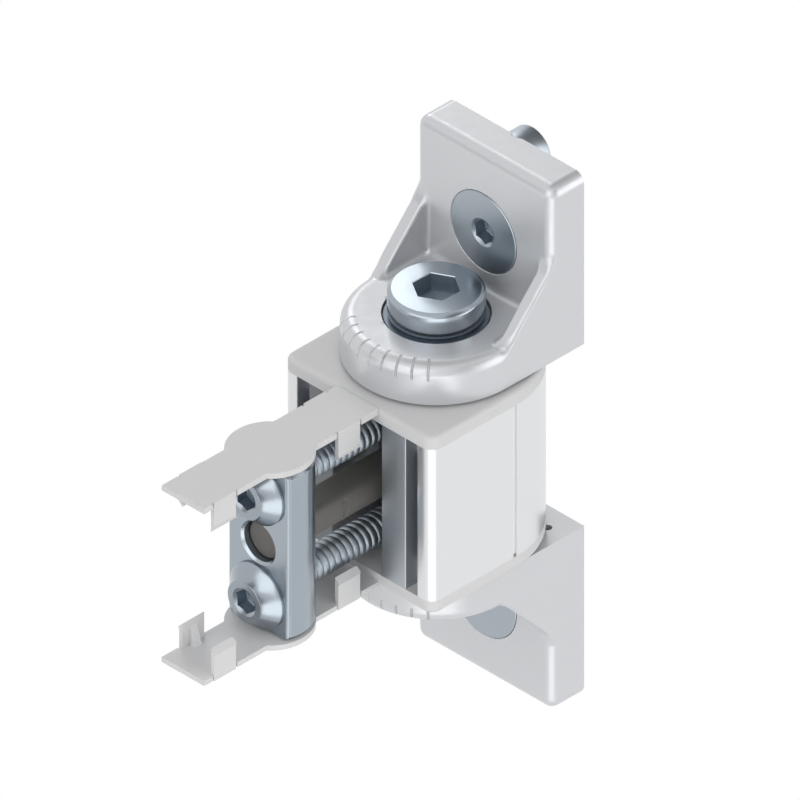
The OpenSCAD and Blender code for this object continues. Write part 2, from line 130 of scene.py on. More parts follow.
class CapSizes(bpy.types.PropertyGroup):
    edge_round: length("Edge round", "Round on the cap's outer edge", 0.0009)
    front_corner: length("Front corner", "Radius of the cap's front corners", 0.0025)
    arm_width: length("Arm width", "Width of the cover arm", 0.0114)
    arm_thickness: length("Arm thickness", "Thickness of the cover arm", 0.0013)
    arm_round: length("Arm round", "Round on the arm's upper edges", 0.0003)
    arm_root: length("Arm root", "Length of the arm's raised end on the cap", 0.0005)
    root_round: length("Root round", "Radius of the corners at the arm's root", 0.0008)
    tongue: length("Tongue", "How far a tongue lies behind the front face", 0.0036)
    tongue_end: length("Tongue end", "Where a tongue ends behind the front face", 0.0083)
    tongue_depth: length("Tongue depth", "How deep a tongue hangs into its slot", 0.005)
    pad_place: length("Pad place", "Distance of the round pad's middle from the tip", 0.0233)
    pad_radius: length("Pad radius", "Radius of the round pad over the bar", 0.0087)
    tab_length: length("Tab length", "Length of a snap tab", 0.0058)
    tab_height: length("Tab height", "Height of a snap tab from the arm's top", 0.0062)
    tab_thickness: length("Tab thickness", "Thickness of a snap tab", 0.0009)
    tip_tab: length("Tip tab", "Distance of the outer tabs from the tip", 0.0027)
    near_tab: length("Near tab", "Distance of the inner tabs from the strut face", 0.0049)
    stagger: length("Stagger", "How much further in the tabs on the far edge sit", 0.002)
    hook: length("Hook", "How far a tab's hook stands out", 0.0003)
    notch: length("Notch", "Notch in the arm beside a tab", 0.0004)
    rib: length("Rib", "Thickness of the rib behind a tab", 0.0018)
    rib_reach: length("Rib reach", "Reach of the rib along the arm", 0.0014)
    hole: length("Hole", "Radius of the hole round the pin", 0.0082)
    grid: length("Grid", "Step of the grid that the moulding is worked out on", 0.0003)
    plastic: colour("Plastic", "Matte light grey plastic", (0.65, 0.65, 0.655))


class HousingSizes(bpy.types.PropertyGroup):
    channel: length("Channel", "Width of the front channel", 0.013)
    land: length("Land", "Wall between the channel and a slot", 0.0064)
    slot: length("Slot", "Width of a front slot", 0.0031)
    slot_depth: length("Slot depth", "Depth of a front slot", 0.0085)
    corner: length("Corner", "Radius of the front corners", 0.0025)
    edge: length("Edge", "Round on the edges of the slots and the channel", 0.00025)
    seam: length("Seam", "Width of the seam groove at the round back", 0.0008)
    seam_depth: length("Seam depth", "Depth of the seam groove", 0.0005)
    anodised: colour("Anodised", "Satin anodised aluminium", (0.735, 0.745, 0.755))
    # The milled colour also tones the slot walls and, at 0.4, one front land: painted shade
    # there.
    milled: colour("Milled", "Bare milled aluminium of the front lands", (0.42, 0.445, 0.47))


class BarSizes(bpy.types.PropertyGroup):
    hole: length("Hole", "Radius of the bar's middle hole", 0.0042)
    hole_rim: length("Hole rim", "Radius of the hole's chamfered rim", 0.0047)
    screw_bore: length("Screw bore", "Radius of the bores for the clamp screws", 0.0036)
    chamfer: length("Chamfer", "Chamfer round the bar's ends", 0.0007)
    line_width: length("Line width", "Half width of the line between bevel and round", 0.00016)
    line_depth: length("Line depth", "Depth of the line between bevel and round", 0.0002)
    rod_round: length("Rod round", "Round on the core rod's end", 0.0003)
    rod_top: length("Rod top", "Height of the rod's flattened top above its axis", 0.0031)
    top_round: length("Top round", "Round on the edges of the rod's flattened top", 0.0006)
    mark_place: length("Mark place", "Distance of the rod's mark from the strut face", 0.00696)
    mark_length: length("Mark length", "Half length of the mark along the rod", 0.00095)
    mark_width: length("Mark width", "Half width of the mark round the rod", 0.0023)
    mark_depth: length("Mark depth", "Depth of the rod's mark", 0.00045)
    grid: length("Grid", "Step of the grid that bar and rod are worked out on", 0.00035)
    rod: colour("Rod", "Warm dark grey plastic of the core rod", (0.125, 0.12, 0.112))


class ScrewSizes(bpy.types.PropertyGroup):
    clamp_thread: length("Clamp thread", "Radius of the clamp screw's thread", 0.0033)
    clamp_pitch: length("Clamp pitch", "Pitch of the clamp screw's thread", 0.0016)
    clamp_groove: length("Clamp groove", "Depth of the clamp screw's thread", 0.00042)
    clamp_socket: length("Clamp socket", "Flats of the clamp screw's socket", 0.0046)
    clamp_face: length("Clamp face", "Radius of the clamp screw's flat face", 0.0044)
    mount_thread: length("Mount thread", "Radius of the mounting screw's thread", 0.004)
    mount_pitch: length("Mount pitch", "Pitch of the mounting screw's thread", 0.00125)
    mount_socket: length("Mount socket", "Flats of the countersunk screw's socket", 0.0046)
    mount_groove: length("Mount groove", "Depth of the mounting screw's thread", 0.00034)
    socket_mouth: length("Socket mouth", "Radius of the small sockets' chamfered mouths", 0.00305)
    small_depth: length("Small depth", "Depth of the small sockets", 0.003)
    pivot_thread: length("Pivot thread", "Radius of the pivot screw's thread", 0.006)
    pivot_pitch: length("Pivot pitch", "Pitch of the pivot screw's thread", 0.00175)
    pivot_groove: length("Pivot groove", "Depth of the pivot screw's thread", 0.0005)
    pivot_head: length("Pivot head", "Height of the pivot screw's head", 0.0064)
    pivot_socket: length("Pivot socket", "Flats of the pivot screw's socket", 0.0082)
    socket_depth: length("Socket depth", "Depth of the pivot screw's socket", 0.004)
    bush_hole: length("Bush hole", "Radius of a bush's hole", 0.00805)
    thrust_hole: length("Thrust hole", "Radius of a thrust washer's hole", 0.0082)
    washer_hole: length("Washer hole", "Radius of a head washer's hole", 0.0064)
    zinc: colour("Zinc", "Bright zinc with a blue tint", (0.37, 0.415, 0.455))
    blackened: colour("Blackened", "Dark steel of the head washer", (0.27, 0.31, 0.35))
    # The socket colour is the zinc darkened as painted shade inside the sockets.
    socket: colour("Socket", "Dark steel inside the sockets", (0.32, 0.37, 0.42))
    bush: colour("Bush", "Dark bearing plastic", (0.03, 0.03, 0.033))
    pin: colour("Pin", "Turned steel of the pivot pin", (0.33, 0.34, 0.35))


class StageSizes(bpy.types.PropertyGroup):
    azimuth: FloatProperty(name="Azimuth", description="Camera's angle round the object",
                           default=np.radians(-45), subtype="ANGLE")
    elevation: FloatProperty(name="Elevation", description="Camera's angle above the object",
                             default=np.radians(34.81), subtype="ANGLE")
    view_width: length("View width", "Width of the parallel view", 0.15126)
    aside: length("Aside", "Place of the swivel axis right of the view's middle", 0.00689)
    below: length("Below", "Place of the swivel axis below the view's middle", 0.00775)
    distance: length("Distance", "Distance of the camera from the object", 0.6)
    floor_drop: length("Floor drop", "Distance of the floor below the object", 0.16)


GROUPS = {"bracket": BracketSizes, "cap": CapSizes, "housing": HousingSizes, "bar": BarSizes,
          "screw": ScrewSizes, "stage": StageSizes}


def sizes(context, group):
    """The scene's values of one property group."""
    return getattr(context.scene, "swivel_" + group)


# ---------------------------------------------------------------- solids as distances
# A solid is a function of the place that is negative inside it. Two solids meet in a
# sharp edge through the larger or smaller distance, or in a round one through the
# functions below, whose rounds are true quarter circles.

def cut_round(a, b, radius):
    """Common part of a and b, its edge rounded: min(-r, max(a, b)) + |(r + a, r + b)|+."""
    return (np.minimum(-radius, np.maximum(a, b))
            + np.hypot(np.maximum(radius + a, 0), np.maximum(radius + b, 0)))


def join_round(a, b, radius):
    """Union of a and b with a fillet: max(r, min(a, b)) - |(r - a, r - b)|+."""
    return (np.maximum(radius, np.minimum(a, b))
            - np.hypot(np.maximum(radius - a, 0), np.maximum(radius - b, 0)))


def common(*parts):
    """Common part of several solids: the largest of their distances."""
    result = parts[0]
    for part in parts[1:]:
        result = np.maximum(result, part)
    return result


def joined(*parts):
    """Union of several solids: the smallest of their distances."""
    result = parts[0]
    for part in parts[1:]:
        result = np.minimum(result, part)
    return result


def slab(value, first, last):
    """Layer between two parallel planes: larger distance to the two."""
    return np.maximum(first - value, value - last)


def ramp(value, first, last):
    """0 below first, 1 above last, and a smooth cubic step between them."""
    t = np.clip((value - first) / (last - first), 0, 1)
    return t * t * (3 - 2 * t)


def slopes(solid, points, reach=2e-5):
    """Gradient of a solid's distance at each point, by central differences."""
    columns = []
    for axis in np.eye(3) * reach:
        ahead, behind = points + axis, points - axis
        columns.append(solid(*ahead.T) - solid(*behind.T))
    return np.stack(columns, axis=1) / (2 * reach)


def directions(solid, points):
    """Unit outward normals of a solid at each point."""
    gradient = slopes(solid, points)
    return gradient / np.maximum(np.linalg.norm(gradient, axis=1, keepdims=True), 1e-9)


def settle(solid, points, steps=3, furthest=2e-4, flattest=0.2):
    """Points moved along the gradient until their distance is zero (Newton's rule), each
    step no longer than furthest and no slope taken as less than flattest."""
    for _ in range(steps):
        gradient = slopes(solid, points)
        size = np.maximum((gradient ** 2).sum(axis=1, keepdims=True), flattest)
        move = np.clip(solid(*points.T), -furthest, furthest)[:, None]
        points = points - move * gradient / size
    return points


GRID_START, GRID_END = 2.37, 2.5   # steps outside a solid, so that flat faces miss the grid
CLOSING_STEPS = 5                  # steps that close in on each crossing
EDGE_SHARE = 0.08                  # least share of a direction that the planes settle
INWARD = 0.28                      # how far inside its face a corner's own side is tried
SAME_SIDE = 0.94                   # cosine between two normals of one smooth surface


def skin(solid, lowest, highest, step):
    """Closed skin of a solid on a grid of cubes.

    Each cube that the surface passes through gets one point, the one that lies best on
    all the tangent planes found where the surface crosses the cube's edges, so that flat
    faces meet in true edges. Each crossed edge gives a quad through its four cubes.
    """
    lowest = np.array(lowest, float) - GRID_START * step
    reach = np.array(highest, float) + GRID_END * step - lowest
    count = np.ceil(reach / step).astype(int) + 1
    axes = [lowest[i] + step * np.arange(count[i]) for i in range(3)]
    value = solid(*np.meshgrid(*axes, indexing="ij"))
    strides = np.array([count[1] * count[2], count[2], 1])
    crossings, cubes = [], []
    for axis in range(3):
        before = [slice(None)] * 3
        after = [slice(None)] * 3
        before[axis], after[axis] = slice(None, -1), slice(1, None)
        inside = value[tuple(before)] < 0
        index = np.argwhere(inside != (value[tuple(after)] < 0))
        here = value[tuple(index.T)]
        there = value[tuple((index + np.eye(3, dtype=int)[axis]).T)]
        start = lowest + index * step
        near, far = np.zeros(len(index)), np.ones(len(index))
        along = np.eye(3)[axis] * step
        for _ in range(CLOSING_STEPS):
            t = near + (far - near) * np.clip(here / (here - there), 0.02, 0.98)
            found = solid(*(start + t[:, None] * along).T)
            same = (found < 0) == (here < 0)
            near, here = np.where(same, t, near), np.where(same, found, here)
            far, there = np.where(same, far, t), np.where(same, there, found)
        t = near + (far - near) * here / (here - there)
        crossings.append(start + t[:, None] * along)
        second, third = strides[(axis + 1) % 3], strides[(axis + 2) % 3]
        cube = index @ strides
        ring = np.stack([cube - second - third, cube - third, cube, cube - second], axis=1)
        leaving = inside[tuple(index.T)]
        cubes.append(np.where(leaving[:, None], ring, ring[:, ::-1]))
    point = np.concatenate(crossings)
    ring = np.concatenate(cubes)
    normal = directions(solid, point)
    keys, faces = np.unique(ring, return_inverse=True)
    faces = faces.reshape(ring.shape)
    owner = faces.ravel()
    spread = np.repeat(np.arange(len(point)), 4)

    def gather(values):
        return np.bincount(owner, weights=values[spread], minlength=len(keys))

    total = gather(np.ones(len(point)))
    centre = np.stack([gather(point[:, i]) for i in range(3)], axis=1) / total[:, None]
    squares = np.empty((len(keys), 3, 3))
    for i in range(3):
        for j in range(3):
            squares[:, i, j] = gather(normal[:, i] * normal[:, j])
    offset = (normal * point).sum(axis=1)
    right = np.stack([gather(normal[:, i] * offset) for i in range(3)], axis=1)
    right -= np.einsum("nij,nj->ni", squares, centre)
    weight, basis = np.linalg.eigh(squares)
    inverse = np.where(weight > EDGE_SHARE * weight[:, 2:], 1 / np.maximum(weight, 1e-12), 0)
    move = np.einsum("nij,nj,nkj,nk->ni", basis, inverse, basis, right)
    corner = lowest + np.stack(np.unravel_index(keys, tuple(count)), axis=1) * step
    placed = np.clip(centre + move, corner, corner + step)
    return settle(solid, placed), faces


def corner_normals(solid, points, faces):
    """Normal of each face corner: the solid's own at the point, or on an edge the one
    just inside the face, so that flat faces stay flat up to their edges."""
    centre = points[faces].mean(axis=1)
    own = directions(solid, points)[faces]
    towards = points[faces] * (1 - INWARD) + centre[:, None, :] * INWARD
    side = directions(solid, towards.reshape(-1, 3)).reshape(own.shape)
    same = (own * side).sum(axis=2, keepdims=True) > SAME_SIDE
    return np.where(same, own, side)


# ---------------------------------------------------------------- meshes

def add_piece(name, points, faces, material, body, replaces, crease=None, normals=None,
              strip=None, extra=()):
    """Object at the origin from arrays of points and faces, in metres.

    faces is a list of index arrays, one for each number of corners. crease is the angle
    above which an edge is sharp, normals gives each corner's normal, and strip gives
    each corner's place in the piece's own UV map.
    """
    mesh = bpy.data.meshes.new(name)
    polygons = [face for group in faces for face in group.tolist()]
    mesh.from_pydata(points.tolist(), [], polygons)
    mesh.polygons.foreach_set("use_smooth", np.ones(len(polygons), bool))
    for finish in (material, *extra):
        mesh.materials.append(finish)
    if strip is not None:
        mesh.uv_layers.new(name="Turned").data.foreach_set("uv", strip.ravel())
    if crease is not None:
        mesh.set_sharp_from_angle(angle=crease)
    if normals is not None:
        mesh.normals_split_custom_set(normals.reshape(-1, 3).tolist())
    mesh.validate()
    piece = bpy.data.objects.new(name, mesh)
    bpy.context.collection.objects.link(piece)
    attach(piece, body)
    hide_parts(*replaces)
    return piece


FINE_CUTS = 4          # cuts of a face's edges beside a fine feature
FINE_MARGIN = 0.3e-3   # how far from a fine feature its points are settled again
FINE_STEPS = 4         # steps of that settling


def refine(points, faces, close, cuts):
    """Faces whose middle is close to a fine feature, split into a finer grid."""
    mesh = bpy.data.meshes.new("refine")
    mesh.from_pydata(points.tolist(), [], faces.tolist())
    work = bmesh.new()
    work.from_mesh(mesh)
    chosen = np.flatnonzero(close(points[faces].mean(axis=1)))
    work.faces.ensure_lookup_table()
    edges = list({edge for index in chosen for edge in work.faces[index].edges})
    bmesh.ops.subdivide_edges(work, edges=edges, cuts=cuts, use_grid_fill=True)
    bmesh.ops.triangulate(work, faces=[face for face in work.faces if len(face.verts) != 4])
    work.to_mesh(mesh)
    work.free()
    finer = np.empty(len(mesh.vertices) * 3)
    mesh.vertices.foreach_get("co", finer)
    sides = [list(face.vertices) for face in mesh.polygons]
    bpy.data.meshes.remove(mesh)
    groups = [np.array([side for side in sides if len(side) == n], int) for n in (4, 3)]
    return finer.reshape(-1, 3), [group for group in groups if len(group)]


def add_solid(name, solid, box, step, material, body, replaces, fine=None, flip=False):
    """Piece whose surface is a solid's skin, or its mirror image in z = 0.

    fine is a pair: a test for the places that need a finer grid, and the solid with its
    fine features, which the finer points settle on.
    """
    points, faces = skin(solid, *box, step * (1))
    groups = [faces]
    if fine:
        close, solid = fine
        points, groups = refine(points, faces, close, FINE_CUTS)
        near = close(points, FINE_MARGIN)
        points[near] = settle(solid, points[near], FINE_STEPS)
    normals = [corner_normals(solid, points, group) for group in groups]
    if flip:
        points = points * (1, 1, -1)
        groups = [group[:, ::-1] for group in groups]
        normals = [normal[:, ::-1] * (1, 1, -1) for normal in normals]
    return add_piece(name, points, groups, material, body, replaces,
                     normals=np.concatenate([normal.reshape(-1, 3) for normal in normals]))


def lathe(rings, sides):
    """Faces of rings of points that run from one pole to the other.

    Ring k holds sides points; the first and last rings are single points, the poles.
    """
    count = len(rings) - 2
    turn = np.arange(sides)
    after = (turn + 1) % sides
    first = 1 + np.arange(count - 1)[:, None] * sides
    quads = np.stack([first + turn, first + after, first + sides + after, first + sides + turn],
                     axis=2).reshape(-1, 4)
    last = 1 + (count - 1) * sides
    start = np.stack([np.zeros(sides, int), 1 + after, 1 + turn], axis=1)
    end = np.stack([np.full(sides, last + sides), last + turn, last + after], axis=1)
    return quads, np.concatenate([start, end])


def turned(profile, sides, phase=0.0):
    """Rings of a turned body round z, from rows of (radius, height, shape, cone).

    Shape 0 is a circle; shape 1 is a hexagon with that radius to its corners:
    radius cos(30) / cos(((angle - phase) mod 60) - 30), in degrees. Cone is the slope of
    a chamfer that the hexagon is cut into: the flats lie cone times deeper than the
    corners, for each unit that they lie further in.
    """
    angle = np.arange(sides) * 2 * np.pi / sides + phase
    inner = np.mod(angle - phase, np.pi / 3) - np.pi / 6
    hexagon = np.cos(np.pi / 6) / np.cos(inner)
    rows = np.array([(*row, 0)[:4] for row in profile], float)
    reach = rows[:, :1] * (1 + rows[:, 2:3] * (hexagon - 1))
    height = rows[:, 1:2] + rows[:, 3:] * (rows[:, :1] - reach)
    return np.stack([reach * np.cos(angle), reach * np.sin(angle), height], axis=2)


def socket(flats, mouth, depth):
    """Rows of a hexagonal socket from its drilled point to its chamfered round mouth."""
    corner = flats / np.sqrt(3)
    slope = 0.55
    return [(0, depth + 0.12 * flats, 0), (0.28 * flats, depth + 0.055 * flats, 0),
            (0.46 * flats, depth, 0), (corner - 0.0001, depth, 1), (corner, depth - 0.0001, 1),
            (corner, (mouth - corner) * slope, 1, slope), (mouth, 0, 0)]


def closed(rings):
    """Rings of shape (count, sides, 3) as one point list, the end rings shrunk to poles."""
    return np.concatenate([rings[0].mean(axis=0)[None], rings[1:-1].reshape(-1, 3),
                           rings[-1].mean(axis=0)[None]])


def thread(bottom, top, crest, depth, pitch, sides, step):
    """Rings of a rolled thread round z, whose broad turns meet in a sharp groove:
    radius = crest - depth |2 s / pitch|^3, where s is the distance along the axis from
    the middle of the nearest turn, at most half a pitch."""
    height = np.linspace(bottom, top, max(4, int((top - bottom) / step)))[:, None]
    angle = np.arange(sides) * 2 * np.pi / sides
    off = (np.mod(height / pitch - angle / (2 * np.pi), 1) - 0.5) * pitch
    drop = depth * np.abs(2 * off / pitch) ** 3
    run_out, sunk = 0.3 * pitch, 0.0002    # at each end the turns fade into a lower round
    fade = np.clip(np.minimum(height - bottom, top - height) / run_out, 0, 1)
    reach = crest - drop * fade - sunk * (1 - fade)
    return np.stack([reach * np.cos(angle), reach * np.sin(angle),
                     np.repeat(height, sides, axis=1)], axis=2)


def strip_map(groups, sides):
    """Place of each face corner round and along a turned body, for brushed reflections.
    Faces across the seam, with corners at both ends of the map, get theirs past 1."""
    corners = []
    for faces in groups:
        spot = faces - 1
        across = np.where(spot < 0, 0, spot % sides) / sides
        wraps = (across.max(axis=1, keepdims=True) > 0.7) & (across < 0.3)
        along = np.maximum(spot, 0) // sides * 0.01
        corners.append(np.stack([across + wraps, along], axis=2).reshape(-1, 2))
    return np.concatenate(corners)


def add_turned(name, rings, place, material, body, replaces, crease=0.5, threaded=0,
               inner=0, inside=None, rolled=None):
    """Piece from rings round z, carried to its place by a function of the points. Its
    rings from the one that threaded gives up to the last but two are shaded smoothly and
    have the rolled material, and the faces up to ring inner have the inside material."""
    sides = rings.shape[1]
    quads, ends = lathe(rings, sides)
    points = place(closed(rings))
    if signed_volume(points, quads, ends) < 0:
        quads, ends = quads[:, ::-1], ends[:, ::-1]
    piece = add_piece(name, points, [quads, ends], material, body, replaces,
                      crease=crease, strip=strip_map([quads, ends], sides),
                      extra=[item for item in (inside, rolled) if item])
    if inside:
        index = np.zeros(len(piece.data.polygons), int)
        index[:(inner - 1) * sides] = 1
        index[len(quads):len(quads) + sides] = 1
        if rolled:
            index[threaded * sides:len(quads)] = 2
        piece.data.polygons.foreach_set("material_index", index)
    if threaded:
        pairs = np.empty(2 * len(piece.data.edges), int)
        piece.data.edges.foreach_get("vertices", pairs)
        ring = (pairs.reshape(-1, 2) - 1) // sides + 1
        sharp = np.empty(len(ring), bool)
        mark = piece.data.attributes["sharp_edge"].data
        mark.foreach_get("value", sharp)
        within = (ring > threaded).all(axis=1) & (ring < len(rings) - 3).all(axis=1)
        mark.foreach_set("value", sharp & ~within)
    return piece


def signed_volume(points, *groups):
    """Volume inside a closed mesh: sum of a . (b x c) / 6 over its triangles."""
    total = 0.0
    for faces in groups:
        a = points[faces[:, 0]]
        for k in range(1, faces.shape[1] - 1):
            b, c = points[faces[:, k]], points[faces[:, k + 1]]
            total += np.einsum("ni,ni->", a, np.cross(b, c)) / 6
    return total


def along_z(z, sign):
    """Place round the swivel axis, its height counted up or down from z."""
    return lambda p: np.stack([PIVOT_X + p[:, 0], p[:, 1], z + sign * p[:, 2]], axis=1)


def along_x(x, z):
    """Place round an axis along X at height z, its own height counted from x."""
    return lambda p: np.stack([x + p[:, 2], p[:, 0], z + p[:, 1]], axis=1)


# ---------------------------------------------------------------- finishes

def node(tree, kind, inputs=(), **settings):
    """Shader node, its inputs set to constants or linked to the outputs of other nodes."""
    made = tree.nodes.new("ShaderNode" + kind)
    for key, value in settings.items():
        setattr(made, key, value)
    for key, value in dict(inputs).items():
        if isinstance(value, bpy.types.NodeSocket):
            tree.links.new(value, made.inputs[key])
        else:
            made.inputs[key].default_value = value
    return made


def toned(base, factor):
    """A base colour made darker or lighter by a factor."""
    return [value * factor for value in base]


def grain(tree, scale, stretch):
    """Noise on the object's own coordinates, stretched along the way it was worked."""
    place = node(tree, "TexCoord").outputs["Object"]
    mapping = node(tree, "Mapping", {"Vector": place, "Scale": stretch})
    return node(tree, "TexNoise", {"Vector": mapping.outputs["Vector"], "Scale": scale,
                                   "Detail": 4.0}).outputs["Fac"]


def finish(name, base, metallic, roughness, drift, gloss, relief, specular=0.5,
           anisotropic=0.0, stretch=(1, 1, 1)):
    """Material whose tone, gloss and relief follow noise.

    drift is the noise's scale and the change of tone it makes, gloss its scale and the
    roughness it runs between, relief its scale, strength and depth, or None.
    """
    material = bpy.data.materials.new(name)
    material.use_nodes = True
    tree = material.node_tree
    shader = tree.nodes["Principled BSDF"].inputs
    for key, value in (("Base Color", (*base, 1)), ("Metallic", metallic),
                       ("Roughness", roughness), ("Specular IOR Level", specular),
                       ("Anisotropic", anisotropic)):
        shader[key].default_value = value
    scale, change = drift
    tint = node(tree, "Mix", {"Factor": grain(tree, scale, stretch),
                              "A": (*toned(base, 1 - change), 1),
                              "B": (*np.minimum(toned(base, 1 + change), 1), 1)},
                data_type="RGBA")
    tree.links.new(tint.outputs["Result"], shader["Base Color"])
    scale, first, last = gloss
    spread = node(tree, "MapRange", {"Value": grain(tree, scale, stretch), "From Min": 0.3,
                                     "From Max": 0.7, "To Min": first, "To Max": last})
    tree.links.new(spread.outputs["Result"], shader["Roughness"])
    if relief:
        scale, strength, depth = relief
        bump = node(tree, "Bump", {"Height": grain(tree, scale, stretch),
                                   "Strength": strength, "Distance": depth})
        tree.links.new(bump.outputs["Normal"], shader["Normal"])
    return material


def satin_paint(name, base):
    """Powder coat on a casting: a fine orange peel, its gloss and tone drifting a little."""
    return finish(name, base, 0.4, 0.32, (90, 0.012), (400, 0.28, 0.36), (1500, 0.05, 1e-4))


def moulded_plastic(name, base):
    """Matte plastic with a fine spark-eroded grain."""
    return finish(name, base, 0.0, 0.5, (60, 0.01), (900, 0.46, 0.56), (3000, 0.06, 6e-5),
                  specular=0.4)


def drawn_aluminium(name, base, roughness, change=0.01, metallic=1.0, relief=0.0):
    """Extruded aluminium: faint lines along Z in its tone, gloss and relief."""
    return finish(name, base, metallic, roughness, (1400, change),
                  (1400, roughness * 0.96, roughness * 1.04),
                  (1400, relief, 3e-5) if relief else None, stretch=(1, 1, 0.01))


def turned_steel(name, base, roughness, anisotropic=0.4, change=0.05):
    """Turned and plated steel: reflections drawn out round the axis, faint tool lines."""
    material = finish(name, base, 1.0, roughness, (240, change),
                      (1200, roughness * 0.95, roughness * 1.05), (2500, 0.012, 3e-5),
                      anisotropic=anisotropic)
    tree = material.node_tree
    tangent = node(tree, "Tangent", direction_type="UV_MAP", uv_map="Turned")
    tree.links.new(tangent.outputs["Tangent"], tree.nodes["Principled BSDF"].inputs["Tangent"])
    return material


def plain_steel(name, base, roughness, change=0.05, stretch=(1, 1, 1)):
    """Plated steel without turning lines, with clouds in its tone and gloss."""
    return finish(name, base, 1.0, roughness, (200, change),
                  (900, roughness * 0.92, roughness * 1.1), (2200, 0.012, 3e-5),
                  stretch=stretch)


# ---------------------------------------------------------------- brackets

def bracket_solid(s):
    """The upper bracket as distances, then a test for places near its angle marks and
    the bracket with those marks cut in."""
    under, top = low("upper_bracket").z, high("upper_bracket").z
    back, side = high("upper_bracket").x - PIVOT_X, high("upper_bracket").y
    seat = high("upper_bush").z
    eye_top = seat + s.recess_depth
    knee = eye_top + s.gusset_rise
    front = low("upper_mount_screw").x + 0.0002 - PIVOT_X
    foot = front - s.gusset_foot
    lip = 0.0001                        # depth at which the countersink starts
    bore = high("upper_bush").y
    screw_z = middle("upper_mount_screw").z
    stud = high("upper_locating_stud").y
    stud_z = middle("upper_locating_stud").z
    stud_gap = 0.0003                   # round the stud and behind it
    root, root_depth = 0.004, 0.005     # bore that holds the stud's root
    vent_x, vent_y = 0.0159, -0.0138    # place of the vent beside the eye
    fall = np.hypot(s.gusset_foot, s.gusset_rise)

    def casting(x, y, z):
        x = x - PIVOT_X
        reach = np.hypot(x, y)
        outline = np.hypot(np.minimum(x, 0), y) - side
        plate = cut_round(front - x, z - top, s.plate_round)
        slope = ((z - eye_top) * s.gusset_foot - (x - foot) * s.gusset_rise) / fall
        rib = cut_round(side - s.gusset_thickness - np.abs(y), np.maximum(slope, foot - x),
                        s.gusset_round)
        form = join_round(z - eye_top, plate, s.fillet)
        form = join_round(form, rib, s.fillet * 0.8)
        edge = s.rim_round + (s.gusset_round - s.rim_round) * ramp(x, foot - 0.002,
                                                                  foot + 0.003)
        edge = edge + (s.plate_round - edge) * ramp(z, knee - 0.001, knee + 0.003)
        form = cut_round(form, outline, edge)
        form = common(form, x - back, under - z, z - top)
        from_screw, from_stud = np.hypot(y, z - screw_z), np.hypot(y, z - stud_z)
        cone = (from_screw - s.screw_seat + (x - front - lip)) / np.sqrt(2)
        hole = joined(common(from_screw - s.screw_seat, x - front - lip),
                      common(cone, front - x), from_screw - s.screw_hole)
        recess = np.maximum(reach - s.recess_radius, seat - z)
        relief = common(from_stud - stud - stud_gap, back - stud_gap - x)
        socketed = common(from_stud - root, back - root_depth - x)
        vent = common(np.hypot(x - vent_x, y - vent_y) - s.vent, z - under - s.vent_depth)
        return common(form, bore - reach, -recess, -hole, -relief, -socketed, -vent)

    def from_mark(x, y):
        """Distance to the middle line of the nearest mark, and from the swivel axis."""
        lean = np.arctan2(-y, PIVOT_X - x)
        most = s.mark_count // 2
        off = lean - np.clip(np.round(lean / s.mark_step), -most, most) * s.mark_step
        reach = np.hypot(x - PIVOT_X, y)
        return np.abs(reach * np.sin(off)), reach

    def marked(x, y, z):
        away, reach = from_mark(x, y)
        ends = (np.clip((reach - side + s.mark_reach) / 0.0002, 0, 1)
                * np.clip((z - eye_top + s.mark_drop) / 0.0002, 0, 1) * (x < PIVOT_X))
        groove = s.mark_depth * np.clip(1 - 2 * away / s.mark_width, 0, 1)
        return casting(x, y, z) + groove * ends

    def near_marks(points, margin=0.45e-3):
        x, y, z = points.T
        away, reach = from_mark(x, y)
        return ((away < margin) & (reach > side - s.mark_reach - 0.0004)
                & (z > eye_top - s.mark_drop - 0.0004) & (z < eye_top + 0.0005)
                & (x < PIVOT_X))

    return casting, near_marks, marked


class OBJECT_OT_swivel_brackets(bpy.types.Operator):
    """Cast angle brackets with rounded rims, gussets, fillets and angle marks"""
    bl_idname = "object.swivel_brackets"
    bl_label = "Brackets"

    def execute(self, context):
        s = sizes(context, "bracket")
        paint = satin_paint("bracket_paint", s.paint)
        casting, *fine = bracket_solid(s)
        for half in HALVES:
            add_solid(half + "_bracket_casting", casting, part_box("upper_bracket"), s.grid,
                      paint, half + "_bracket", [half + "_bracket"], fine,
                      half == "lower")
        return {"FINISHED"}


# ---------------------------------------------------------------- end caps

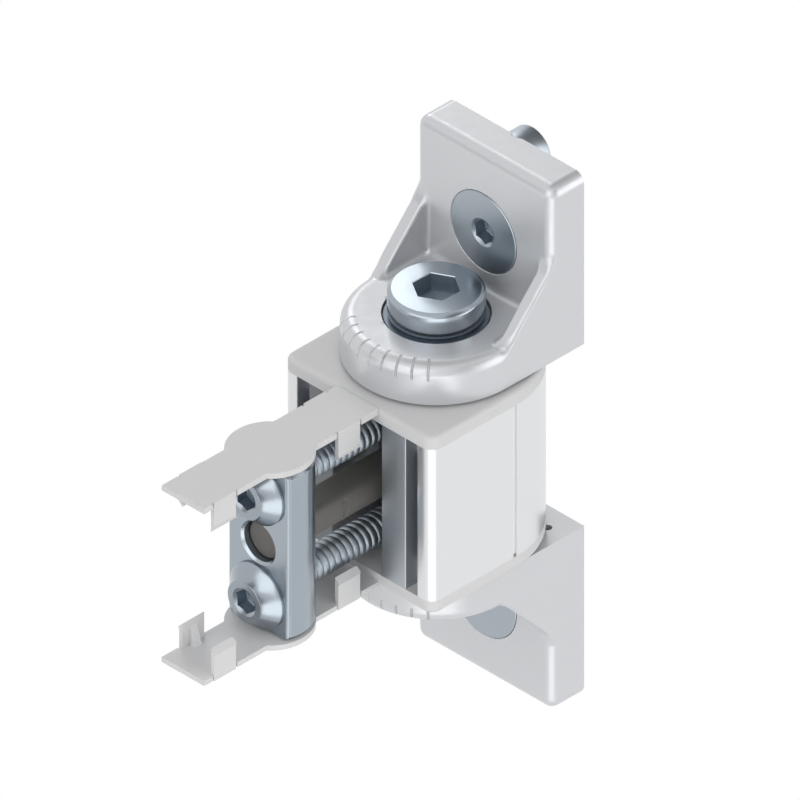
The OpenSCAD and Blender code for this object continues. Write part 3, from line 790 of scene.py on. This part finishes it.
def cap_solid(s):
    """The upper cap as distances: plate, cover arm, pad, snap tabs and tongues."""
    top, under = low("upper_thrust_washer").z, high("housing").z
    arm_top = high("upper_cap").z
    arm_under = arm_top - s.arm_thickness
    hang = arm_top - s.tab_height
    tip = low("upper_cap").x
    side = high("upper_cap").y
    centre = high("upper_cap").x - side
    edge = s.arm_width / 2
    inner = edge - s.tab_thickness
    tongue_in, tongue_out = 0.013, 0.0158    # a tongue's sides, from the middle plane
    rise, run = 0.32, 0.93                   # lean of a rib's inner edge

    def moulding(x, y, z):
        across = np.abs(y)
        round_back = np.hypot(np.maximum(x - centre, 0), y) - side
        plan = cut_round(-x, round_back, s.front_corner)
        plate = common(cut_round(plan, z - top, s.edge_round), under - z)
        arm = common(cut_round(across - edge, x - s.arm_root, s.root_round), tip - x)
        arm = joined(arm, np.hypot(x - tip - s.pad_place, y) - s.pad_radius)
        tabs = np.full_like(x, 1.0)
        for start in (tip + s.tip_tab, -s.near_tab - s.tab_length):
            for sign, shift in ((-1, 0), (1, s.stagger)):
                along, out = x - (start + shift), sign * y
                for gap in (-s.notch, s.tab_length):
                    arm = common(arm, -common(slab(along, gap, gap + s.notch),
                                              edge - s.notch - out))
                span = slab(along, 0, s.tab_length)
                wall = common(span, slab(out, inner, edge), slab(z, hang, arm_top))
                barb = common(span, inner - out, (np.abs(z - hang - s.hook) + out - edge
                                                  - s.hook) / np.sqrt(2))
                rib = common(np.abs(along - s.tab_length / 2) - s.rib / 2,
                             out - edge + 0.5 * s.tab_thickness,
                             (inner - s.rib_reach - out) * run + (arm_under - z) * rise,
                             slab(z, hang + s.hook, arm_top - 0.5 * s.arm_thickness))
                tabs = joined(tabs, wall, barb, rib)
        arm = common(cut_round(arm, z - arm_top, s.arm_round), arm_under - z)
        tongue = common(slab(across, tongue_in, tongue_out), slab(x, s.tongue, s.tongue_end),
                        under - s.tongue_depth - z, z - under - 0.0005)
        return common(joined(plate, arm, tabs, tongue), s.hole - np.hypot(x - PIVOT_X, y))

    return moulding


class OBJECT_OT_swivel_caps(bpy.types.Operator):
    """Moulded end caps with their cover arms and snap tabs"""
    bl_idname = "object.swivel_caps"
    bl_label = "End caps"

    def execute(self, context):
        s = sizes(context, "cap")
        plastic = moulded_plastic("cap_plastic", s.plastic)
        for half in HALVES:
            add_solid(half + "_cap_moulding", cap_solid(s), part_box("upper_cap"), s.grid,
                      plastic, "housing", [half + "_cap"], flip=half == "lower")
        return {"FINISHED"}


# ---------------------------------------------------------------- housing

def arc(x, y, radius, first, last, count):
    """Points of a circle's arc between two angles in degrees."""
    angle = np.radians(np.linspace(first, last, count))
    return np.stack([x + radius * np.cos(angle), y + radius * np.sin(angle)], axis=1)


def housing_plan(s):
    """Half outline of the C-shaped section from the bore's mouth to the back, then its
    mirror image: one closed loop round the axis, counter-clockwise."""
    side = high("housing").y
    shift = high("housing").x - PIVOT_X - side
    bore = high("pivot_pin").y + 0.00005
    front = -PIVOT_X
    half, edge = s.channel / 2, s.edge
    slot = half + s.land
    floor = front + s.slot_depth - edge
    mouth = np.degrees(np.arcsin(half / bore))
    last, first = shift + s.seam / 2, shift - s.seam / 2
    outer = [arc(shift, 0, side, 0, np.degrees(np.arccos((last - shift) / side)), 72),
             [(last, side - s.seam_depth), (first, side - s.seam_depth), (first, side)],
             arc(front + s.corner, side - s.corner, s.corner, 90, 180, 14),
             arc(front + edge, slot + s.slot + edge, edge, 180, 270, 4),
             arc(floor, slot + s.slot - edge, edge, 90, 0, 4),
             arc(floor, slot + edge, edge, 0, -90, 4),
             arc(front + edge, slot - edge, edge, 90, 180, 4),
             arc(front + edge, half + edge, edge, 180, 270, 4)]
    outer = np.concatenate([np.array(part, float).reshape(-1, 2) for part in outer])
    bore_arc = arc(0, 0, bore, 180 - mouth, -180 + mouth, 160)
    return np.concatenate([outer, bore_arc, outer[:0:-1] * (1, -1)])


class OBJECT_OT_swivel_housing(bpy.types.Operator):
    """Extruded housing: a closed section carried straight up"""
    bl_idname = "object.swivel_housing"
    bl_label = "Housing"

    def execute(self, context):
        s = sizes(context, "housing")
        plan = housing_plan(s)
        count = len(plan)
        bottom, top = low("housing").z, high("housing").z
        layers = 8
        heights = np.linspace(bottom, top, layers + 1)
        points = np.concatenate([np.column_stack([plan + (PIVOT_X, 0), np.full(count, z)])
                                 for z in heights])
        turn = np.arange(count)
        after = (turn + 1) % count
        walls = np.concatenate([np.stack([turn, after, count + after, count + turn], axis=1)
                                + k * count for k in range(layers)])
        flat = np.array(tessellate_polygon([[Vector((*p, 0)) for p in plan]]), int)
        area = np.cross(plan[flat[:, 1]] - plan[flat[:, 0]], plan[flat[:, 2]] - plan[flat[:, 0]])
        flat[area < 0] = flat[area < 0][:, ::-1]
        upper = layers * count
        groups = [walls, np.concatenate([flat[:, ::-1], flat + upper])]
        anodised = drawn_aluminium("housing_anodised", s.anodised, 0.3, 0.006, 0.8, 0.008)
        milled = drawn_aluminium("housing_milled", toned(s.milled, 1.08), 0.5)
        # This copy of the milled finish, darkened to 0.4, is painted shade for the front land at
        # y > 0, which lies in the channel's shadow.
        shaded = drawn_aluminium("housing_painted_shade", toned(s.milled, 0.4), 0.42)
        piece = add_piece("housing_profile", points, groups, anodised, "housing", ["housing"],
                          crease=0.35, extra=(milled, shaded))
        centre = np.empty(len(piece.data.polygons) * 3)
        piece.data.polygons.foreach_get("center", centre)
        x, y, _ = centre.reshape(-1, 3).T
        wall = s.channel / 2 + s.land
        lands = (x < 0.0001) & (np.abs(y) < wall)
        slots = ((np.abs(np.abs(y) - wall - s.slot / 2) < s.slot / 2 + 1e-5)
                 & (x > 0.0003) & (x < s.slot_depth + 1e-4))
        # Slot walls take the darker milled finish as painted shade in the slots; the land at y >
        # 0 takes the darker copy as painted shade; the other land is milled.
        index = np.where(slots, 1, lands * (1 + (y > 0)))
        piece.data.polygons.foreach_set("material_index", index)
        return {"FINISHED"}


# ---------------------------------------------------------------- clamp bar and core rod

def bar_solid(s):
    """The clamp bar as distances, then a test for places near its fine features and the
    bar with a fine line where each bevel meets the round."""
    flat, end = low("clamp_bar").x, high("clamp_bar").z
    radius = high("clamp_bar").y
    axis = high("clamp_bar").x - radius
    screw_z = middle("upper_clamp_screw").z
    fore, aside = 0.83, 0.56        # direction that a bevel faces, across the bar
    bevel = (fore * (axis - flat) + aside * np.sqrt(radius ** 2 - (axis - flat) ** 2)
             - 0.00026)
    edge = np.arctan2(aside, fore) + np.arccos(bevel / np.hypot(fore, aside) / radius)

    def bar(x, y, z):
        reach = np.hypot(x - axis, y)
        up = np.abs(z)
        form = common(reach - radius, up - end, flat - x,
                      (reach - radius + up - end + s.chamfer) / np.sqrt(2),
                      fore * (axis - x) + aside * np.abs(y) - bevel)
        plain = np.hypot(y, z)
        hole = joined(plain - s.hole, (plain - s.hole_rim + x - flat) / np.sqrt(2))
        screws = np.hypot(y, up - screw_z) - s.screw_bore
        return common(form, -hole, -screws)

    def from_edge(x, y):
        """Distance round the bar from the edge between bevel and round."""
        return radius * np.abs(np.arctan2(np.abs(y), axis - x) - edge)

    def lined(x, y, z):
        groove = s.line_depth * np.clip(1 - from_edge(x, y) / s.line_width, 0, 1)
        return bar(x, y, z) + groove * (np.hypot(x - axis, y) > radius - 0.001)

    def near_lines(points, margin=0.4e-3):
        x, y, z = points.T
        rim = (s.hole + s.hole_rim) / 2
        near_rim = (np.abs(np.hypot(y, z) - rim) < margin + 0.0001) & (x < flat + 0.0008)
        return near_rim | ((from_edge(x, y) < margin) & (x < axis)
                           & (np.hypot(x - axis, y) > radius - 0.0006))

    return bar, near_lines, lined


class OBJECT_OT_swivel_bar(bpy.types.Operator):
    """Clamp bar: round with a flat, chamfered ends and three cross holes"""
    bl_idname = "object.swivel_bar"
    bl_label = "Clamp bar"

    def execute(self, context):
        s = sizes(context, "bar")
        steel = plain_steel("bar_steel", sizes(context, "screw").zinc, 0.24, 0.015,
                            (1, 1, 0.15))
        bar, *fine = bar_solid(s)
        add_solid("clamp_bar_turned", bar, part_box("clamp_bar"), s.grid, steel, "clamp_bar",
                  ["clamp_bar"], fine)
        return {"FINISHED"}


def rod_solid(s):
    """The core rod as distances, its top flattened behind the bar, then a test for
    places near the oblong mark on its side and the rod with that mark pressed in."""
    start, end = low("core_rod").x, high("core_rod").x
    radius = high("core_rod").y
    bar_back = high("clamp_bar").x - 0.0003

    def rod(x, y, z):
        form = common(cut_round(np.hypot(y, z) - radius, start - x, s.rod_round), x - end)
        return cut_round(form, joined(z - s.rod_top, x - bar_back), s.top_round)

    def oval(x, y, z):
        """Below 0 inside the mark: an ellipse along x and round the rod."""
        around = radius * np.arctan2(z - 0.0002, -y)
        return np.hypot((x + s.mark_place) / s.mark_length, around / s.mark_width) - 1

    def marked(x, y, z):
        inset = s.mark_depth * ramp(-oval(x, y, z) * 0.001, 0, 0.00022) * (y < 0)
        return rod(x, y, z) + inset

    def near_mark(points, margin=0):
        x, y, z = points.T
        return (oval(x, y, z) < 0.5) & (y < 0) & (np.hypot(y, z) > radius - 0.0006)

    return rod, near_mark, marked


class OBJECT_OT_swivel_rod(bpy.types.Operator):
    """Plastic core rod with a shallow oblong mark on its side"""
    bl_idname = "object.swivel_rod"
    bl_label = "Core rod"

    def execute(self, context):
        s = sizes(context, "bar")
        rod, *fine = rod_solid(s)
        add_solid("core_rod_turned", rod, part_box("core_rod"), s.grid,
                  moulded_plastic("rod_plastic", s.rod), "housing", ["core_rod"], fine)
        return {"FINISHED"}


# ---------------------------------------------------------------- screws and studs

SIDES = 96             # points round a screw or stud
FINE_TURNS = 0.00011   # step along the clamp screws' thread


class OBJECT_OT_swivel_clamp_screws(bpy.types.Operator):
    """Clamp screws: a cone head with a flange and a hexagonal socket, and a coarse thread"""
    bl_idname = "object.swivel_clamp_screws"
    bl_label = "Clamp screws"

    def execute(self, context):
        s = sizes(context, "screw")
        steel = turned_steel("clamp_screw_steel", toned(s.zinc, 0.9), 0.24, 0.2, 0.01)
        # Socket faces: rougher steel, its darker colour painted shade in the hollow.
        dark = plain_steel("socket_painted_shade", s.socket, 0.4)
        rolled = plain_steel("thread_steel", toned(s.zinc, 0.95), 0.48, 0.01)
        sides = SIDES
        for half in HALVES:
            name = half + "_clamp_screw"
            start, end, flange = low(name).x, high(name).x, high(name).y
            seat, face = low("clamp_bar").x - start, s.clamp_face
            cone = np.linspace(0, 1, 9)[:, None]
            flare = np.hstack([face + 0.00008 + (flange - face - 0.00022) * cone ** 1.3,
                               0.00006 + (seat - 0.00085) * cone, 0 * cone]).tolist()
            head = turned([*socket(s.clamp_socket, s.socket_mouth, s.small_depth),
                           (face - 0.0003, 0, 0), (face, 0.00001, 0), *flare,
                           (flange, seat - 0.0006, 0), (flange, seat - 0.00012, 0),
                           (flange - 0.00012, seat, 0), (s.clamp_thread + 0.0001, seat, 0)],
                          sides, np.radians(20))
            shank = thread(seat + 0.0001, end - start - 0.0001, s.clamp_thread,
                           s.clamp_groove, s.clamp_pitch, sides,
                           FINE_TURNS)
            tip = turned([(0.0024, end - start, 0), (0, end - start, 0)], sides)
            add_turned(name + "_turned", np.concatenate([head, shank, tip]),
                       along_x(start, middle(name).z), steel, name, [name],
                       threaded=len(head) + 1, inner=5, inside=dark, rolled=rolled)
        return {"FINISHED"}


class OBJECT_OT_swivel_pivot_screws(bpy.types.Operator):
    """Low-head socket screws that hold the brackets on the pin"""
    bl_idname = "object.swivel_pivot_screws"
    bl_label = "Pivot screws"

    def execute(self, context):
        s = sizes(context, "screw")
        steel = turned_steel("pivot_screw_steel", s.zinc, 0.22, 0.55, 0.02)
        # Socket faces: rougher steel, its darker colour painted shade in the hollow.
        dark = plain_steel("pivot_socket_painted_shade", s.socket, 0.5)
        for half, sign, outer in zip(HALVES, (1, -1), (high("upper_pivot_screw").z,
                                                       low("lower_pivot_screw").z)):
            name = half + "_pivot_screw"
            radius = high(name).y
            full = high(name).z - low(name).z
            head, deep, flats = s.pivot_head, s.socket_depth, s.pivot_socket
            corner, point, rim = flats / np.sqrt(3), flats * 0.12, radius - 0.0008
            dome = [(r, 0.0003 * (r / rim) ** 2, 0)
                    for r in (0.0054, 0.0061, 0.0068, 0.0074, 0.008, rim)]
            rings = turned([(0, deep + point, 0), (flats * 0.3, deep + point * 0.4, 0),
                            (flats * 0.47, deep, 1), (corner, deep, 1),
                            (corner, 0.00025, 1), (corner + 0.00012, 0.0001, 1), *dome,
                            (radius - 0.00074, 0.00034, 0), (radius - 0.00012, 0.0009, 0),
                            (radius - 0.00003, 0.00102, 0), (radius, 0.0012, 0),
                            (radius, head - 0.0008, 0), (radius - 0.0001, head - 0.0006, 0),
                            (radius - 0.0007, head, 0), (s.pivot_thread + 0.0001, head, 0)],
                           SIDES, np.radians(-2 * sign))
            shank = thread(head + 0.0001, full - 0.0006, s.pivot_thread, s.pivot_groove,
                           s.pivot_pitch, SIDES, 0.0003)
            tip = turned([(0.0052, full, 0), (0, full, 0)], SIDES)
            add_turned(name + "_turned", np.concatenate([rings, shank, tip]),
                       along_z(outer, -sign), steel, "housing", [name], inner=4,
                       inside=dark)
        return {"FINISHED"}


class OBJECT_OT_swivel_mount_screws(bpy.types.Operator):
    """Countersunk socket screws through the plates"""
    bl_idname = "object.swivel_mount_screws"
    bl_label = "Mounting screws"

    def execute(self, context):
        s = sizes(context, "screw")
        steel = plain_steel("mount_screw_steel", toned(s.zinc, 1.05), 0.34, 0.01)
        # Socket faces: rougher steel, its darker colour painted shade in the hollow.
        dark = plain_steel("mount_socket_painted_shade", s.socket, 0.4)
        neck = s.mount_thread - 0.0004
        for half in HALVES:
            name = half + "_mount_screw"
            start, radius = low(name).x, high(name).y
            full = high(name).x - start
            rings = turned([*socket(s.mount_socket, s.socket_mouth, s.small_depth),
                            (0.0045, 0.00001, 0), (0.0065, 0.00004, 0),
                            (radius - 0.0002, 0.0001, 0), (radius, 0.00022, 0),
                            (radius, 0.0003, 0), (neck, radius - 0.0033, 0),
                            (neck, 0.0086, 0)], SIDES, np.radians(20))
            shank = thread(0.0087, full - 0.0006, s.mount_thread, s.mount_groove,
                           s.mount_pitch, SIDES, 0.00013)
            tip = turned([(0.0034, full, 0), (0, full, 0)], SIDES)
            add_turned(name + "_turned", np.concatenate([rings, shank, tip]),
                       along_x(start, middle(name).z), steel, half + "_bracket", [name],
                       threaded=len(rings) + 1, inner=5, inside=dark)
        return {"FINISHED"}


class OBJECT_OT_swivel_studs(bpy.types.Operator):
    """Locating studs in the backs of the plates"""
    bl_idname = "object.swivel_studs"
    bl_label = "Locating studs"

    def execute(self, context):
        s = sizes(context, "screw")
        steel = turned_steel("stud_steel", toned(s.zinc, 1.25), 0.35, 0.3, 0.02)
        root = 0.004                # radius of the part that sits in the plate
        for half in HALVES:
            name = half + "_locating_stud"
            start, radius = low(name).x, high(name).y
            full = high(name).x - start
            seat = high(half + "_bracket").x - start
            rings = turned([(0, 0, 0), (root - 0.0002, 0, 0), (root, 0.0002, 0),
                            (root, seat, 0), (radius, seat, 0), (radius, full - 0.0004, 0),
                            (radius - 0.00008, full - 0.0002, 0),
                            (radius - 0.0004, full, 0), (radius * 0.5, full, 0),
                            (0, full, 0)], SIDES)
            add_turned(name + "_turned", rings, along_x(start, middle(name).z), steel,
                       half + "_bracket", [name])
        return {"FINISHED"}


# ---------------------------------------------------------------- rings and pin

def add_ring(name, hole, material, body, sides=128, edge=0.0001):
    """Flat ring in the place of a CAD node: eight points, its chamfered section, are
    carried round the swivel axis."""
    bottom, top, radius = low(name).z, high(name).z, high(name).y
    loop = np.array([(hole, bottom + edge), (hole + edge, bottom), (radius - edge, bottom),
                     (radius, bottom + edge), (radius, top - edge), (radius - edge, top),
                     (hole + edge, top), (hole, top - edge)])
    turn = np.arange(sides)
    angle = turn * 2 * np.pi / sides
    points = np.stack([PIVOT_X + loop[:, :1] * np.cos(angle), loop[:, :1] * np.sin(angle),
                       np.repeat(loop[:, 1:], sides, axis=1)], axis=2).reshape(-1, 3)
    ring = np.arange(len(loop))[:, None] * sides
    following = np.roll(ring, -1, axis=0)
    after = (turn + 1) % sides
    faces = np.stack([ring + turn, ring + after, following + after, following + turn],
                     axis=2).reshape(-1, 4)
    across = turn / sides
    corners = np.stack([across, across + 1 / sides, across + 1 / sides, across], axis=1)
    strip = np.stack(np.broadcast_arrays(
        corners[None], np.array([0, 0, 1, 1]) * 0.01 + ring[:, :, None] * 1e-4), axis=-1)
    if signed_volume(points, faces) < 0:
        faces, strip = faces[:, ::-1], strip[:, :, ::-1]
    add_piece(name + "_ring", points, [faces], material, body, [name], crease=0.6,
              strip=strip)


class OBJECT_OT_swivel_rings(bpy.types.Operator):
    """Bushes, thrust washers and head washers round the pin"""
    bl_idname = "object.swivel_rings"
    bl_label = "Bushes and washers"

    def execute(self, context):
        s = sizes(context, "screw")
        plastic = moulded_plastic("bush_plastic", s.bush)
        black = turned_steel("washer_blackened", s.blackened, 0.45, 0.3)
        for half in HALVES:
            add_ring(half + "_bush", s.bush_hole, plastic, half + "_bracket")
            add_ring(half + "_thrust_washer", s.thrust_hole, plastic, "housing")
            add_ring(half + "_head_washer", s.washer_hole, black, "housing")
        return {"FINISHED"}


class OBJECT_OT_swivel_pin(bpy.types.Operator):
    """Finish of the pivot pin, whose CAD shape stays"""
    bl_idname = "object.swivel_pin"
    bl_label = "Pivot pin"

    def execute(self, context):
        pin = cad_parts["pivot_pin"].data
        pin.materials.clear()
        pin.materials.append(plain_steel("pin_steel", sizes(context, "screw").pin, 0.3))
        return {"FINISHED"}


# ---------------------------------------------------------------- stage

# Lamps: name, place from the swivel axis, size in metres and power in watts.
LAMPS = (("key", (-0.93, -0.12, 0.34), 1.0, 3.9), ("side", (0.45, -0.86, 0.14), 0.9, 4.1),
         ("front", (-0.17, -0.17, -0.13), 0.2, 0.16), ("back", (0.40, 0.70, 0.58), 0.45, 1.35))
# Dark flags of the studio: direction, how close to it each starts and is full (as a
# cosine), and its tone.
FLAGS = (((0.90, 0.10, 0.42), 0.72, 0.86, 0.16), ((0.12, 0.05, 0.99), 0.88, 0.95, 0.3),
         ((-0.95, 0.25, 0.1), 0.84, 0.93, 0.45), ((-0.15, -0.98, 0.1), 0.86, 0.94, 0.5),
         ((0.03, -0.80, 0.60), 0.90, 0.97, 0.3))


class OBJECT_OT_swivel_stage(bpy.types.Operator):
    """Camera at the photograph's angle, plain floor, pale world and soft lamps"""
    bl_idname = "object.swivel_stage"
    bl_label = "Stage"

    def execute(self, context):
        s = sizes(context, "stage")
        towards = Vector((np.sin(s.azimuth) * np.cos(s.elevation),
                          -np.cos(s.azimuth) * np.cos(s.elevation), np.sin(s.elevation)))
        turn = towards.to_track_quat("Z", "Y")
        right, up = turn @ Vector((1, 0, 0)), turn @ Vector((0, 1, 0))
        centre = Vector((PIVOT_X, 0, 0)) - right * s.aside + up * s.below
        camera = bpy.data.cameras.new("camera")
        camera.type = "ORTHO"
        camera.ortho_scale = s.view_width
        camera.clip_start, camera.clip_end = 0.01, 5
        eye = bpy.data.objects.new("camera", camera)
        eye.matrix_world = (Matrix.Translation(centre + towards * s.distance)
                            @ turn.to_matrix().to_4x4())
        context.collection.objects.link(eye)
        context.scene.camera = eye
        context.scene.view_settings.view_transform = "Standard"

        wide, floor_z = 4, CAD_BOX[0][2] - s.floor_drop
        mesh = bpy.data.meshes.new("floor")
        mesh.from_pydata([(-wide, -wide, floor_z), (wide, -wide, floor_z),
                          (wide, wide, floor_z), (-wide, wide, floor_z)], [], [(0, 1, 2, 3)])
        floor = bpy.data.objects.new("floor", mesh)
        context.collection.objects.link(floor)
        floor.data.materials.append(self.paper())
        self.world(context)
        for name, place, size, power in LAMPS:
            self.lamp(context, name, Vector(place), size, power)
        return {"FINISHED"}

    def paper(self):
        """Floor paper: plain white to the camera and in reflections, and its real tone to
        every other ray."""
        material = bpy.data.materials.new("floor_paper")
        material.use_nodes = True
        tree = material.node_tree
        tree.nodes.clear()
        plain = node(tree, "BsdfDiffuse", {"Color": (0.6, 0.6, 0.6, 1)})
        white = node(tree, "Emission")
        mix = node(tree, "MixShader", {"Fac": self.seen(tree), 1: plain.outputs["BSDF"],
                                       2: white.outputs["Emission"]})
        node(tree, "OutputMaterial", {"Surface": mix.outputs["Shader"]})
        return material

    def seen(self, tree):
        """1 for rays from the camera and for rays reflected or let through, else 0."""
        path = node(tree, "LightPath").outputs
        total = path["Is Camera Ray"]
        for kind in ("Is Glossy Ray", "Is Transmission Ray"):
            total = node(tree, "Math", {0: total, 1: path[kind]},
                         operation="MAXIMUM").outputs["Value"]
        return total

    def world(self, context):
        """Pale world, a little darker low down: plain white to the camera, and to
        reflections white with the dark flags that give metal its shape."""
        world = bpy.data.worlds.new("studio")
        world.use_nodes = True
        context.scene.world = world
        tree = world.node_tree
        tree.nodes.clear()
        way = node(tree, "TexCoord").outputs["Generated"]
        height = node(tree, "SeparateXYZ", {"Vector": way}).outputs["Z"]
        room = node(tree, "MapRange", {"Value": height, "From Min": -0.6, "From Max": 0.8,
                                       "To Min": 0.24, "To Max": 0.66}).outputs["Result"]
        studio = 1.0
        for direction, first, last, tone in FLAGS:
            aim = node(tree, "VectorMath", {0: way, 1: Vector(direction).normalized()},
                       operation="DOT_PRODUCT").outputs["Value"]
            shade = node(tree, "MapRange", {"Value": aim, "From Min": first,
                                            "From Max": last, "To Min": 1.0, "To Max": tone},
                         interpolation_type="SMOOTHSTEP").outputs["Result"]
            studio = node(tree, "Math", {0: shade, 1: studio},
                          operation="MULTIPLY").outputs["Value"]
        room, studio, white = [
            node(tree, "Background", {"Color": (1, 1, 1, 1), "Strength": strength})
            .outputs["Background"] for strength in (room, studio, 1.0)]
        lit = node(tree, "MixShader", {"Fac": self.seen(tree), 1: room, 2: studio})
        camera = node(tree, "LightPath").outputs["Is Camera Ray"]
        shown = node(tree, "MixShader", {"Fac": camera, 1: lit.outputs["Shader"], 2: white})
        node(tree, "OutputWorld", {"Surface": shown.outputs["Shader"]})

    def lamp(self, context, name, place, size, power):
        """Large soft lamp that faces the object."""
        light = bpy.data.lights.new(name, "AREA")
        light.size, light.energy = size, power
        lamp = bpy.data.objects.new(name, light)
        lamp.matrix_world = (Matrix.Translation(place + Vector((PIVOT_X, 0, 0)))
                             @ place.to_track_quat("Z", "Y").to_matrix().to_4x4())
        context.collection.objects.link(lamp)


# ---------------------------------------------------------------- panel and main

class VIEW3D_PT_swivel(bpy.types.Panel):
    bl_label = "Swivel Bearing"
    bl_space_type = "VIEW_3D"
    bl_region_type = "UI"
    bl_category = "Swivel Bearing"

    def draw(self, context):
        for step in STEPS:
            self.layout.operator(step.bl_idname)
        for group in GROUPS:
            box = self.layout.box()
            box.label(text=group.capitalize())
            values = sizes(context, group)
            for key in values.__annotations__:
                box.prop(values, key)


STEPS = (OBJECT_OT_swivel_brackets, OBJECT_OT_swivel_caps, OBJECT_OT_swivel_housing,
         OBJECT_OT_swivel_bar, OBJECT_OT_swivel_rod, OBJECT_OT_swivel_clamp_screws,
         OBJECT_OT_swivel_pivot_screws, OBJECT_OT_swivel_mount_screws, OBJECT_OT_swivel_studs,
         OBJECT_OT_swivel_rings, OBJECT_OT_swivel_pin, OBJECT_OT_swivel_stage)
CLASSES = (*GROUPS.values(), *STEPS, VIEW3D_PT_swivel)


def register():
    for item in CLASSES:
        bpy.utils.register_class(item)
    for name, group in GROUPS.items():
        setattr(bpy.types.Scene, "swivel_" + name, PointerProperty(type=group))


def unregister():
    for name in GROUPS:
        delattr(bpy.types.Scene, "swivel_" + name)
    for item in reversed(CLASSES):
        bpy.utils.unregister_class(item)


def main():
    """Register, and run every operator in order."""
    register()
    for step in STEPS:
        space, action = step.bl_idname.split(".")
        getattr(getattr(bpy.ops, space), action)()


if __name__ == "__main__":
    main()
